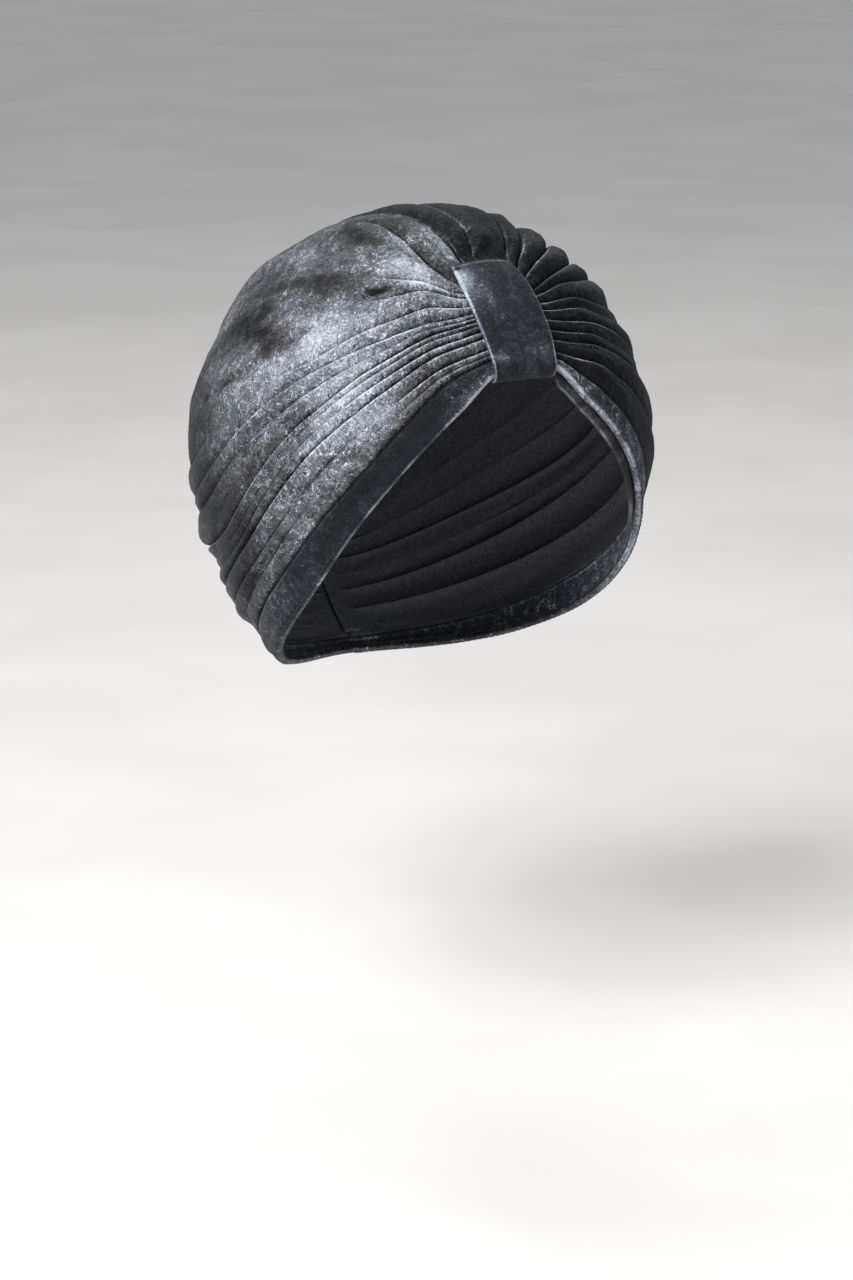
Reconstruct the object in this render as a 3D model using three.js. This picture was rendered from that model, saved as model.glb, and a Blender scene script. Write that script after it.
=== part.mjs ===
// Turban headwrap in crushed velvet, shown in the form that it has on a head.
//
// Units are millimetres and +Z is up. The face looks along -Y, and the wearer's left is +X.
// The origin is where the wrap sits: the inside of the crown, at its top.
//
// The cloth is charted as a globe is. One pole lies under the centre band on the forehead and the
// other at the nape. RUN goes from 0 at the band to 1 at the nape, and TURN is the angle about the
// line between the poles, in degrees: 0 over the top of the head, about 90 at the sides and past
// that at the hem, with the wearer's right negative. Each pole is a short upright slit rather than
// a point, so that the pleats leave the band side by side before they fan out.
import * as THREE from 'three';

// Form of the wrap, measured from the centre of the head to the mean surface of the cloth.
const HALF_WIDTH = 88;
const FRONT_REACH = 87;
const BACK_REACH = 115;
const CROWN_RISE = 94;
const NAPE_DROP = 114;
const SEAT_RISE = 92; // from the centre of the head up to the inside of the crown

// Poles of the chart.
const BAND_POLE_RISE = 34; // degrees above level, seen from the centre of the head
const NAPE_POLE_DROP = 44; // degrees below level
const BAND_SLIT = 0.5; // half length of the slit, as a share of the distance to it
const NAPE_SLIT = 0.42;

// Cloth.
const DRAPE_WALL = 2;
const HEM_WALL = 2.2;
const FACING_WALL = 1.6;
const BAND_WALL = 1.8;
const HALF_SEAM_GAP = 0.2;
const HEM_GAP = 0.5; // degrees of turn between a drape and the hem

// Where the gathers are pressed flat under the band.
const PRESS_DEPTH = 2.4;
const PRESS_RUN = { from: 0.085, to: 0.15 };
const HEM_PRESS = 1.1;
const FACING_PRESS = 0.6;
const EDGE_RUN = 0.03; // front edge of the drapes and the hem, under the band
const PRESSED_PLEAT = 0.5; // share of a pleat's depth that is left there

// A crease lies this share of the depth below the mean surface, and a crest rises above it.
const CREASE_SHARE = 0.6;
const CREST_POWER = 0.55; // under 1 gives full round crests and narrow creases
const CREST_STEPS = [0, 0.18, 0.5, 0.82];

// Every table below gives its values at these stations along RUN.
const STATIONS = [0.05, 0.12, 0.2, 0.32, 0.55, 1];
const DRAPE_RUNS = [
  EDGE_RUN, 0.05, 0.07, 0.09, 0.115, 0.14, 0.17, 0.2, 0.24, 0.29, 0.34, 0.4, 0.47, 0.54, 0.61, 0.69,
  0.77, 0.85, 0.93, 1,
];

// The seam between the two drapes starts at the band's corner and runs back over the crown.
const SEAM = { turn: [-30, -20, -14, -12, -10, 0], depth: [2.5, 3, 2.5, 1.5, 1, 1] };

// The creases of each drape, from the seam down to the hem.
const RIGHT_CREASES = [
  { turn: [-50, -42, -29, -20, -17, -8], depth: [3, 3, 2.5, 1.2, 0.3, 0] },
  { turn: [-54, -53, -51, -43, -36, -24], depth: [1.5, 1.5, 1.2, 0.8, 0.3, 0] },
  { turn: [-57, -56.5, -61, -62, -58, -44], depth: [3.5, 2.8, 1.2, 0.5, 0.3, 0] },
  { turn: [-62, -65, -72, -78, -76, -60], depth: [4.5, 4.2, 3, 1.5, 0.4, 0.3] },
  { turn: [-66, -72, -77.5, -81.5, -82.5, -72], depth: [3.5, 3.2, 2.2, 1, 2.5, 1.5] },
  { turn: [-68.5, -74.5, -81, -86, -89.5, -82], depth: [1, 1, 1, 2, 4, 2] },
  { turn: [-71, -77.5, -85, -92, -98, -94], depth: [3.5, 4, 3.2, 2.8, 4.5, 2.5] },
  { turn: [-76, -82, -89, -95.5, -101.5, -100], depth: [3, 3.5, 2, 0.8, 0.5, 0.5] },
  { turn: [-81, -86.5, -93.5, -99.5, -104.5, -104], depth: [4, 4, 3, 3, 5.5, 3] },
  { turn: [-87, -92, -99, -105, -109.5, -109], depth: [4, 3.5, 1.5, 0.8, 0.8, 0.8] },
];
const LEFT_CREASES = [
  { turn: [-10, -3, 2, 4, 5, 7], depth: [3, 3, 3, 2, 1, 0.3] },
  { turn: [32, 25, 22, 21, 19, 15], depth: [2, 2, 1.5, 1, 0.4, 0.2] },
  { turn: [41, 34, 32.5, 33, 30, 24], depth: [4, 5, 5, 3, 1, 0.3] },
  { turn: [47, 43, 44, 45, 42, 34], depth: [3, 4, 4, 2.2, 0.6, 0.3] },
  { turn: [55.5, 53, 53.5, 54, 52, 43], depth: [3, 4, 3.5, 2, 0.6, 0.3] },
  { turn: [59, 58, 60.5, 62, 61, 52], depth: [3, 4, 4, 2.2, 0.6, 0.3] },
  { turn: [63.5, 65.5, 70, 72, 70.5, 61], depth: [2.5, 3, 3.5, 2.2, 0.8, 0.4] },
  { turn: [68, 71.5, 76.5, 79, 78.5, 70], depth: [2, 2, 1.5, 0.6, 1.2, 0.6] },
  { turn: [73, 77.5, 82, 85.5, 86, 79], depth: [3, 3, 3.5, 2.2, 2.2, 1.2] },
  { turn: [84, 87.5, 90.5, 92.5, 94.5, 90], depth: [4, 4, 3, 2.2, 3.4, 2] },
  { turn: [90.5, 95.5, 99.5, 104, 106, 103], depth: [2, 2.5, 2.5, 2, 3.6, 2] },
];

// The hem strip, as turns of its upper and lower edges, on each side of the head.
const HEM_RIGHT = {
  top: [-92.5, -98.5, -107, -113.5, -117.5, -116],
  bottom: [-100.5, -112, -118, -122.5, -126.5, -126],
};
const HEM_LEFT = {
  top: [94, 105, 111, 116, 118, 116],
  bottom: [99.5, 115.5, 121, 124.5, 127.5, 126],
};
const HEM_CREASE_DEPTH = [1.5, 1.5, 1.2, 1.2, 1.2, 1];

// Section of the hem strip from its upper edge to its lower one. The lower edge is a soft roll.
const HEM_SECTION = [
  { across: 0, outer: -0.9 },
  { across: 0.12, outer: 0.1 },
  { across: 0.5, outer: -0.1 },
  { across: 0.84, outer: 0.7 },
  { across: 1, outer: -0.8 },
];

// The turned-in layer of the hem, which shows below the hem beside the band on the wearer's left.
const FACING_BOTTOM = [107, 120, 124.5, 126.5, 128, 128];
const FACING_LAP = 5; // degrees that it reaches up behind the hem
const FACING_RUNS = [0.03, 0.045, 0.06, 0.08, 0.105, 0.14, 0.18, 0.23, 0.29, 0.35, 0.42];
const FACING_TUCKED_BOTTOM = 99.8;
const FACING_HEIGHT = -3.1;

// The centre band from its tucked top end down to the hem: rise in degrees, side edges, height.
const BAND_OUTLINE = [
  { rise: 61, right: -10, left: 5.5, height: 0.4 },
  { rise: 60.4, right: -13.6, left: 7.2, height: 0.9 },
  { rise: 59.2, right: -15.2, left: 8.5, height: 1.5 },
  { rise: 56, right: -16, left: 10.2, height: 1.9 },
  { rise: 50, right: -16.5, left: 12, height: 2.2 },
  { rise: 43, right: -16.3, left: 12.8, height: 2.2 },
  { rise: 36, right: -15.8, left: 13, height: 2.2 },
  { rise: 29.2, right: -15.5, left: 12.6, height: 2.2 },
];
// It turns in round the hem and runs back up inside, which leaves room for the hem between.
const BAND_LOOP = { innerRadius: 3.5, turnSteps: 6, tailRise: 44, tailSteps: 3 };
const BAND_ACROSS = [0, 0.08, 0.3, 0.5, 0.7, 0.92, 1];
const BAND_EDGE_DROP = 0.3; // how far the band's edges bow down to the cloth

const DEGREE = Math.PI / 180;

const mix = (a, b, share) => a + (b - a) * share;

// A smooth curve through a table's values that never overshoots them.
function atRun(values, run) {
  const last = STATIONS.length - 1;
  if (run <= STATIONS[0]) return values[0];
  if (run >= STATIONS[last]) return values[last];
  const i = STATIONS.findIndex((station) => station > run) - 1;
  const slope = (k) => (values[k + 1] - values[k]) / (STATIONS[k + 1] - STATIONS[k]);
  const tangent = (k) => {
    if (k === 0 || k === last) return k === 0 ? slope(0) : slope(last - 1);
    const [before, after] = [slope(k - 1), slope(k)];
    return before * after <= 0 ? 0 : (2 * before * after) / (before + after);
  };
  const span = STATIONS[i + 1] - STATIONS[i];
  const s = (run - STATIONS[i]) / span;
  const bend = s * (1 - s) * span;
  const eased = s * s * (3 - 2 * s);
  return (
    mix(values[i], values[i + 1], eased) +
    bend * (tangent(i) * (1 - s) - tangent(i + 1) * s)
  );
}

function baseRadius(direction) {
  const depth = direction.y < 0 ? FRONT_REACH : BACK_REACH;
  const height = direction.z > 0 ? CROWN_RISE : NAPE_DROP;
  return 1 / Math.hypot(direction.x / HALF_WIDTH, direction.y / depth, direction.z / height);
}

// A point of the wrap: a direction from the centre of the head, and a height over the mean surface.
function onForm(direction, height) {
  const reach = baseRadius(direction) + height;
  return direction.clone().multiplyScalar(reach).setZ(direction.z * reach - SEAT_RISE);
}

function chartDirection(turn, run) {
  const ease = run * run * (3 - 2 * run);
  const rise = mix(BAND_POLE_RISE, NAPE_POLE_DROP, ease) * DEGREE;
  const slit = mix(BAND_SLIT, NAPE_SLIT, ease);
  const away = Math.sin(Math.PI * run);
  const side = away * Math.sin(turn * DEGREE);
  const up = Math.hypot(away, slit) * Math.cos(turn * DEGREE);
  const forward = Math.cos(Math.PI * run);
  return new THREE.Vector3(
    side,
    up * Math.sin(rise) - forward * Math.cos(rise),
    up * Math.cos(rise) + forward * Math.sin(rise),
  ).normalize();
}

// 1 under the band, falling to 0 where the gathers stand free of it.
function pressed(run) {
  return 1 - THREE.MathUtils.smoothstep(run, PRESS_RUN.from, PRESS_RUN.to);
}

// A closed wall between two grids of points, [row][column], joined round its four edges.
function wallGeometry(outer, inner) {
  const rows = outer.length;
  const columns = outer[0].length;
  const points = [...outer.flat(), ...inner.flat()];
  const outerIndex = (row, column) => row * columns + column;
  const innerIndex = (row, column) => rows * columns + outerIndex(row, column);
  const triangles = [];
  const quad = (a, b, c, d) => triangles.push(a, b, c, a, c, d);
  for (let row = 0; row < rows - 1; row += 1) {
    for (let column = 0; column < columns - 1; column += 1) {
      const corners = [[row, column], [row, column + 1], [row + 1, column + 1], [row + 1, column]];
      quad(...corners.map(([r, c]) => outerIndex(r, c)));
      quad(...corners.map(([r, c]) => innerIndex(r, c)).reverse());
    }
  }
  const edge = (from, to) => {
    quad(outerIndex(...to), outerIndex(...from), innerIndex(...from), innerIndex(...to));
  };
  for (let column = 0; column < columns - 1; column += 1) {
    edge([0, column], [0, column + 1]);
    edge([rows - 1, column + 1], [rows - 1, column]);
  }
  for (let row = 0; row < rows - 1; row += 1) {
    edge([row, columns - 1], [row + 1, columns - 1]);
    edge([row + 1, 0], [row, 0]);
  }
  return facingOut(points, triangles);
}

function facingOut(points, triangles) {
  let volume = 0;
  for (let i = 0; i < triangles.length; i += 3) {
    const [a, b, c] = [0, 1, 2].map((k) => points[triangles[i + k]]);
    volume += a.dot(new THREE.Vector3().crossVectors(b, c));
  }
  const geometry = new THREE.BufferGeometry().setFromPoints(points);
  geometry.setIndex(volume > 0 ? triangles : triangles.toReversed());
  geometry.computeVertexNormals();
  return geometry;
}

// Height of a drape between two neighbouring creases, at a share of the way across.
function pleatHeight(upper, lower, share, run) {
  const free = 1 - pressed(run);
  const depth = mix(atRun(upper.depth, run), atRun(lower.depth, run), share);
  const crest = Math.pow(4 * share * (1 - share), CREST_POWER);
  return depth * (crest - CREASE_SHARE) * mix(PRESSED_PLEAT, 1, free) - PRESS_DEPTH * (1 - free);
}

// One half of the crown, from the seam over the top of the head down to the hem.
function drapeGeometry(creases, hemTop, side) {
  const hemLine = { turn: hemTop.map((turn) => turn - side * HEM_GAP), depth: HEM_CREASE_DEPTH };
  const lines = [SEAM, ...creases, hemLine];
  const columns = lines.slice(1).flatMap((lower, i) => (
    CREST_STEPS.map((share) => ({ upper: lines[i], lower, share }))
  ));
  columns.push({ upper: lines.at(-2), lower: hemLine, share: 1 });
  const grid = (drop) => DRAPE_RUNS.map((run) => columns.map(({ upper, lower, share }) => {
    const turn = mix(atRun(upper.turn, run), atRun(lower.turn, run), share);
    const point = onForm(chartDirection(turn, run), pleatHeight(upper, lower, share, run) - drop);
    point.x += side * HALF_SEAM_GAP;
    return point;
  }));
  return wallGeometry(grid(0), grid(DRAPE_WALL));
}

// The hem strip runs along the whole edge, from the band round the nape and back to the band.
function hemGeometry() {
  const stops = [
    ...DRAPE_RUNS.map((run) => ({ run, edges: HEM_RIGHT })),
    ...DRAPE_RUNS.slice(0, -1).reverse().map((run) => ({ run, edges: HEM_LEFT })),
  ];
  const grid = (heightOf) => stops.map(({ run, edges }) => HEM_SECTION.map((point) => {
    const turn = mix(atRun(edges.top, run), atRun(edges.bottom, run), point.across);
    return onForm(chartDirection(turn, run), heightOf(point) - HEM_PRESS * pressed(run));
  }));
  return wallGeometry(grid((point) => point.outer), grid(() => -HEM_WALL));
}

function facingGeometry() {
  const grid = (drop) => FACING_RUNS.map((run) => {
    const free = THREE.MathUtils.smoothstep(run, 0.048, 0.06);
    const bottom = mix(FACING_TUCKED_BOTTOM, atRun(FACING_BOTTOM, run), free);
    const top = atRun(HEM_LEFT.bottom, run) - FACING_LAP;
    return [0, 0.5, 1].map((share) => {
      const height = FACING_HEIGHT - FACING_PRESS * pressed(run) - drop;
      return onForm(chartDirection(mix(top, bottom, share), run), height);
    });
  });
  return wallGeometry(grid(0), grid(FACING_WALL));
}

// Stops along the band as { rise, height of its outer and inner face, side edges }.
function bandStops() {
  const outside = BAND_OUTLINE.map((stop) => ({
    ...stop, outer: stop.height, inner: stop.height - BAND_WALL, innerRise: stop.rise,
  }));
  const hem = BAND_OUTLINE.at(-1);
  const outerRadius = BAND_LOOP.innerRadius + BAND_WALL;
  const middle = hem.height - outerRadius;
  const toRise = 1 / (FRONT_REACH * DEGREE);
  const bend = (angle, radius) => ({
    rise: hem.rise - Math.sin(angle) * radius * toRise,
    height: middle + Math.cos(angle) * radius,
  });
  const turned = Array.from({ length: BAND_LOOP.turnSteps }, (_, i) => {
    const angle = (Math.PI * (i + 1)) / BAND_LOOP.turnSteps;
    const [out, into] = [bend(angle, outerRadius), bend(angle, BAND_LOOP.innerRadius)];
    return { ...hem, rise: out.rise, outer: out.height, inner: into.height, innerRise: into.rise };
  });
  const tail = Array.from({ length: BAND_LOOP.tailSteps }, (_, i) => {
    const rise = mix(hem.rise, BAND_LOOP.tailRise, (i + 1) / BAND_LOOP.tailSteps);
    const { outer, inner } = turned.at(-1);
    return { ...hem, rise, innerRise: rise, outer, inner };
  });
  return [...outside, ...turned, ...tail];
}

function bandGeometry() {
  const place = (stop, rise, height, across) => {
    const x = mix(stop.right, stop.left, across);
    const bow = Math.pow(Math.abs(2 * across - 1), 4);
    const direction = new THREE.Vector3(
      x / FRONT_REACH, -Math.cos(rise * DEGREE), Math.sin(rise * DEGREE),
    ).normalize();
    return onForm(direction, height - BAND_EDGE_DROP * bow * (height > -1 ? 1 : 0));
  };
  const grid = (rise, height) => bandStops().map((stop) => (
    BAND_ACROSS.map((across) => place(stop, stop[rise], stop[height], across))
  ));
  return wallGeometry(grid('rise', 'outer'), grid('innerRise', 'inner'));
}

function piece(name, geometry, color, roughness) {
  const material = new THREE.MeshStandardMaterial({ color, roughness, metalness: 0 });
  const mesh = new THREE.Mesh(geometry, material);
  mesh.name = name;
  return mesh;
}

const turban = new THREE.Group();
turban.add(
  piece('drape_right', drapeGeometry(RIGHT_CREASES, HEM_RIGHT.top, -1), 0x6b6f7a, 0.7),
  piece('drape_left', drapeGeometry(LEFT_CREASES, HEM_LEFT.top, 1), 0x3a3b42, 0.75),
  piece('centre_band', bandGeometry(), 0x44464f, 0.7),
  piece('hem_band', hemGeometry(), 0x3c3d45, 0.7),
  piece('hem_facing', facingGeometry(), 0x4a4b53, 0.8),
);

export default turban;
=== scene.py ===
"""Looks of a crushed velvet turban headwrap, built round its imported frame.

Lengths are metres, +Z is up, the face looks along -Y and the wearer's left is +X. The cloth is
charted as a globe is, with one pole under the centre band and the other at the nape. RUN goes from
0 at the band to 1 at the nape. TURN is the angle about the line between the poles, in degrees: 0
over the top of the head, about 90 at the sides, and negative on the wearer's right.
"""

import math

import bpy
import numpy as np
from mathutils import Matrix, Vector


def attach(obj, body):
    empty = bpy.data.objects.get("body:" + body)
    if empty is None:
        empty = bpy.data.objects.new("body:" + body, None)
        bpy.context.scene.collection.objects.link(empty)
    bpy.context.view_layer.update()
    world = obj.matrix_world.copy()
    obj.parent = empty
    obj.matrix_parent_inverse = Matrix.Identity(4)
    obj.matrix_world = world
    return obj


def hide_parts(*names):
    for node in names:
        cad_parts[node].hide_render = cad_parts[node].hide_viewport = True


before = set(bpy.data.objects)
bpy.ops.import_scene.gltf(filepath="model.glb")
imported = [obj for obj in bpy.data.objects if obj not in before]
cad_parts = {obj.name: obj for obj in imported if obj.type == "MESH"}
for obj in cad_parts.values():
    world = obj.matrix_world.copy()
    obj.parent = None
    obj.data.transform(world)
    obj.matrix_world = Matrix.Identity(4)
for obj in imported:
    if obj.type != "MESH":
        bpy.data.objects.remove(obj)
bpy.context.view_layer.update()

bl_info = {
    "name": "Velvet turban",
    "version": (1, 0, 0),
    "blender": (4, 5, 0),
    "location": "View3D > Sidebar > Turban",
    "description": "Builds a gathered velvet turban with its centre band and hem",
    "category": "Add Mesh",
}

MM = 0.001
DEGREE = math.pi / 180

# Form of the wrap from the centre of the head to the mean surface of the cloth, as in the frame.
HALF_WIDTH = 88 * MM
FRONT_REACH = 87 * MM
BACK_REACH = 115 * MM
CROWN_RISE = 94 * MM
NAPE_DROP = 114 * MM
SEAT_RISE = 92 * MM
BAND_POLE_RISE, NAPE_POLE_DROP = 34, 44
BAND_SLIT, NAPE_SLIT = 0.5, 0.42
MEAN_REACH = 95 * MM
MEAN_SLIT = 0.46

# The tables of creases and edges give their values at these stations along RUN.
STATIONS = (0.05, 0.12, 0.2, 0.32, 0.55, 1.0)
EDGE_RUN = 0.03
PRESS_DEPTH = 2.4 * MM
PRESS_FROM, PRESS_TO = 0.08, 0.14
PRESSED_PLEAT = 0.6
CREASE_SHARE = 0.6
CREASE_REACH = 7 * MM
FOLD_STEP, MOST_STEPS = 1.1 * MM, 2.2
LEAN_FADES = (60 * MM, 15 * MM)
HALF_SEAM_GAP = 0.1 * MM
BACK_SEAM_DEPTH = -1 * MM
BACK_SEAM_FROM = 0.955
HEM_GAP = 0.2  # degrees of TURN between a drape and the hem

# Rows of points lie closer together by the band the further these powers are over 1.
DRAPE_CROWDING, HEM_CROWDING = 1.35, 1.2

SEAM = {"turn": (-30, -20, -14, -12, -10, 0), "depth": (3, 3.6, 3.2, 2.2, 1.4, 1), "lean": 0}

# The creases of each drape from the seam down to the hem: where they run, how deep they are in
# millimetres, and how far the crest of the fold above each one is shifted away from it.
RIGHT_CREASES = (
    {"turn": (-50, -42, -29, -20, -17, -8), "depth": (3, 3.2, 2.4, 1.2, 0.4, 0), "lean": 0.1},
    {"turn": (-54, -53, -51, -43, -36, -16), "depth": (1.6, 1.6, 1, 0.5, 0.2, 0), "lean": 0.1},
    {"turn": (-57, -56.5, -61, -62, -58, -24), "depth": (3.4, 3, 1.3, 0.3, 0.2, 0), "lean": 0.14},
    {"turn": (-62, -65, -72, -78, -77, -32), "depth": (4.2, 4.2, 2.6, 1.4, 0.3, 0.2), "lean": 0.16},
    {"turn": (-66, -72, -77.5, -81.5, -85, -40), "depth": (3.4, 3.4, 2, 1.3, 6.4, 2.4), "lean": 0.2},
    {"turn": (-68.5, -74.5, -81, -86, -89.5, -50), "depth": (1.2, 1.4, 1.2, 1.6, 0.7, 0.3), "lean": 0.2},
    {"turn": (-71, -77.5, -85, -91.5, -98.5, -60), "depth": (3.4, 3.8, 2.8, 2.2, 5, 3), "lean": 0.06},
    {"turn": (-73.5, -79.8, -87, -93.5, -101.5, -68), "depth": (1.4, 1.8, 1.6, 0.9, 0.5, 0.3), "lean": 0.16},
    {"turn": (-77, -83, -90, -96, -103.5, -76), "depth": (3.2, 3.2, 2, 1, 0.6, 0.4), "lean": 0.16},
    {"turn": (-81, -86.5, -93.5, -99.5, -106, -86), "depth": (3.8, 4.2, 3, 2.8, 6.6, 3.4), "lean": 0.12},
    {"turn": (-87, -92, -99, -105, -110.5, -97), "depth": (3.8, 3.4, 1.5, 0.6, 0.5, 0.4), "lean": 0.16},
    {"turn": (-89.8, -95, -102.5, -108, -113.5, -107), "depth": (1.4, 1.4, 0.9, 0.3, 0.2, 0.2), "lean": 0.1},
)
LEFT_CREASES = (
    {"turn": (-10, -3, 2, 4, 5, 7), "depth": (3, 5, 5.2, 3.6, 1.2, 0.3), "lean": 0.06},
    {"turn": (32, 25, 22, 21, 19, 13), "depth": (2.4, 2.2, 1.1, 0.8, 0.5, 0.2), "lean": 0.05},
    {"turn": (41, 34, 32.5, 33, 30, 20), "depth": (4.6, 6, 6, 3.6, 1, 0.3), "lean": 0.06},
    {"turn": (47, 43, 44, 45, 42, 27), "depth": (3.4, 4.8, 4.8, 2.7, 0.6, 0.3), "lean": 0.06},
    {"turn": (55.5, 53, 53.5, 54, 52, 34), "depth": (3.4, 4.8, 4.3, 2.3, 0.6, 0.3), "lean": 0.06},
    {"turn": (59, 58, 60.5, 62, 61, 42), "depth": (3.4, 4.6, 4.8, 2.7, 0.7, 0.3), "lean": 0.06},
    {"turn": (63.5, 65.5, 70, 72, 70.5, 50), "depth": (3, 3.6, 4.2, 2.7, 1.2, 0.4), "lean": 0.06},
    {"turn": (67.5, 70.8, 76, 79, 78.5, 58), "depth": (2.6, 2.6, 2, 0.9, 1.2, 0.6), "lean": 0.06},
    {"turn": (73, 77.5, 82, 85.5, 87, 67), "depth": (3.4, 3.6, 4.1, 2.7, 3.4, 1.8), "lean": 0.06},
    {"turn": (79, 82.8, 86.2, 89, 91.5, 76), "depth": (2.4, 2, 1, 0.5, 0.4, 0.2), "lean": 0.06},
    {"turn": (84, 87.5, 90.5, 92.5, 96, 86), "depth": (4.2, 4.6, 3.6, 2.6, 4.6, 2.6), "lean": 0.06},
    {"turn": (90.5, 95.5, 99.5, 104, 107, 98), "depth": (2.5, 3, 3, 2.4, 4.6, 2.6), "lean": 0.06},
)

HEM_RIGHT = {
    "top": (-92.5, -98.5, -107, -113.5, -117.5, -116),
    "bottom": (-100.5, -112, -118, -122.5, -126.5, -126),
}
HEM_LEFT = {"top": (94, 105, 111, 116, 118, 116), "bottom": (99.5, 115.5, 121, 124.5, 127.5, 126)}
HEM_CREASE_DEPTH = (1.8, 1.8, 1.6, 1.5, 1.5, 1)
HEM_SECTION = {"across": (0, 0.1, 0.3, 0.55, 0.84, 1), "height": (-1, 0.1, 0.3, -0.3, 0.8, -0.4)}

FACING_BOTTOM = (107, 120, 124.5, 126.5, 128, 128)
FACING_LAP = 5
FACING_TUCKED_BOTTOM = 99.8
FACING_FREE = (0.048, 0.06)
FACING_HEIGHT = -3.1 * MM
FACING_END = 0.42
FACING_ROWS, FACING_COLUMNS = 90, 15

# The centre band from its tucked top end down to the hem, in degrees of rise and millimetres.
BAND_OUTLINE = {
    "rise": (61.2, 60.4, 59.2, 56, 50, 43, 36.5, 30.4),
    "right": (-12.5, -14.8, -15.6, -16, -16.5, -16.3, -15.8, -15.3),
    "left": (6.8, 7.8, 8.6, 10, 11.8, 12.7, 13, 12.7),
    "height": (-0.2, 0.7, 1.4, 1.9, 2.2, 2.2, 2.2, 2.2),
}
BAND_LOOP = {"inner_radius": 3.5 * MM, "tail_rise": 44}

# Strokes over the cloth, from one place to another, with a half width in millimetres. Pinches are
# creases too short for the tables above and rolls are swells, both with a height in millimetres.
RIGHT_PINCHES = (
    {"turn": (-46, -34), "run": (0.1, 0.2), "reach": 1.5, "amount": -1.6},
    {"turn": (-37, -24), "run": (0.07, 0.17), "reach": 1.5, "amount": -1.4},
    {"turn": (-66, -69.5), "run": (0.285, 0.335), "reach": 2.4, "amount": -1.8},
    {"turn": (-71.5, -70), "run": (0.4, 0.5), "reach": 2, "amount": -1},
    {"turn": (-70, -64), "run": (0.5, 0.6), "reach": 2.4, "amount": -0.8},
    {"turn": (-56, -60), "run": (0.19, 0.235), "reach": 2, "amount": -1.4},
    {"turn": (-83, -91), "run": (0.27, 0.46), "reach": 1.6, "amount": -1.2},
    {"turn": (-88, -95), "run": (0.25, 0.38), "reach": 1.5, "amount": -1.1},
    {"turn": (-88, -93), "run": (0.31, 0.43), "reach": 1.5, "amount": -1},
    {"turn": (-84, -82), "run": (0.5, 0.66), "reach": 2.2, "amount": -1.3},
    {"turn": (-94, -93), "run": (0.5, 0.8), "reach": 1.6, "amount": -1.3},
    {"turn": (-104, -108), "run": (0.3, 0.4), "reach": 2.2, "amount": -0.8},
    {"turn": (-112, -113), "run": (0.5, 0.66), "reach": 2.5, "amount": -0.8},
)
LEFT_PINCHES = (
    {"turn": (-7, 2), "run": (0.07, 0.105), "reach": 3, "amount": -2.6},
    {"turn": (10, 9), "run": (0.07, 0.12), "reach": 2.2, "amount": -2.4},
    {"turn": (18, 15), "run": (0.08, 0.2), "reach": 1.6, "amount": -1.6},
    {"turn": (30, 25), "run": (0.07, 0.14), "reach": 1.4, "amount": -1.6},
    {"turn": (38, 34), "run": (0.08, 0.13), "reach": 1.2, "amount": -1.8},
    {"turn": (49, 46), "run": (0.07, 0.13), "reach": 1.2, "amount": -1.8},
    {"turn": (10, 12), "run": (0.18, 0.3), "reach": 2.4, "amount": -1.2},
    {"turn": (27, 28), "run": (0.16, 0.26), "reach": 1.8, "amount": -1.1},
    {"turn": (39, 39), "run": (0.18, 0.28), "reach": 1.6, "amount": -0.9},
    {"turn": (57, 57), "run": (0.16, 0.3), "reach": 1.6, "amount": -1},
    {"turn": (100, 104), "run": (0.16, 0.24), "reach": 1.8, "amount": -1},
)
RIGHT_ROLLS = (
    {"turn": (-91.5, -84), "run": (0.46, 0.74), "reach": 7, "amount": 3.6},
    {"turn": (-84, -60), "run": (0.74, 0.92), "reach": 7, "amount": 2.6},
    {"turn": (-102, -98), "run": (0.48, 0.76), "reach": 4, "amount": 1.2},
    {"turn": (-111, -107), "run": (0.46, 0.78), "reach": 6, "amount": 2.8},
    {"turn": (-72, -64), "run": (0.42, 0.76), "reach": 13, "amount": 1.8},
    {"turn": (-40, -36), "run": (0.3, 0.4), "reach": 10, "amount": -1.2},
    {"turn": (-24, -22), "run": (0.12, 0.34), "reach": 7, "amount": 1.6},
    {"turn": (-48, -36), "run": (0.09, 0.26), "reach": 6, "amount": 1.4},
    {"turn": (-62, -68), "run": (0.5, 0.58), "reach": 10, "amount": -1},
    {"turn": (-59, -61), "run": (0.205, 0.225), "reach": 6, "amount": -1.4},
    {"turn": (-30, -22), "run": (0.42, 0.84), "reach": 8, "amount": 1.5},
    {"turn": (-47, -34), "run": (0.5, 0.84), "reach": 6, "amount": -1.2},
    {"turn": (-62, -46), "run": (0.52, 0.84), "reach": 7, "amount": 1.3},
)
LEFT_ROLLS = (
    {"turn": (-8, -4), "run": (0.1, 0.34), "reach": 7, "amount": 1.6},
    {"turn": (17, 15), "run": (0.13, 0.36), "reach": 11, "amount": 2.4},
    {"turn": (28, 27), "run": (0.12, 0.3), "reach": 5, "amount": 1.4},
    {"turn": (38.5, 38.5), "run": (0.12, 0.3), "reach": 4, "amount": 1.4},
    {"turn": (48.5, 49), "run": (0.14, 0.3), "reach": 3.5, "amount": 1},
    {"turn": (57, 58), "run": (0.14, 0.3), "reach": 3.5, "amount": 0.8},
    {"turn": (66, 67), "run": (0.16, 0.34), "reach": 4, "amount": 1},
    {"turn": (80, 84), "run": (0.14, 0.4), "reach": 5, "amount": 1.4},
    {"turn": (95, 100), "run": (0.16, 0.6), "reach": 6, "amount": 1.4},
    {"turn": (108, 111), "run": (0.3, 0.85), "reach": 6, "amount": 1.4},
)
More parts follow.
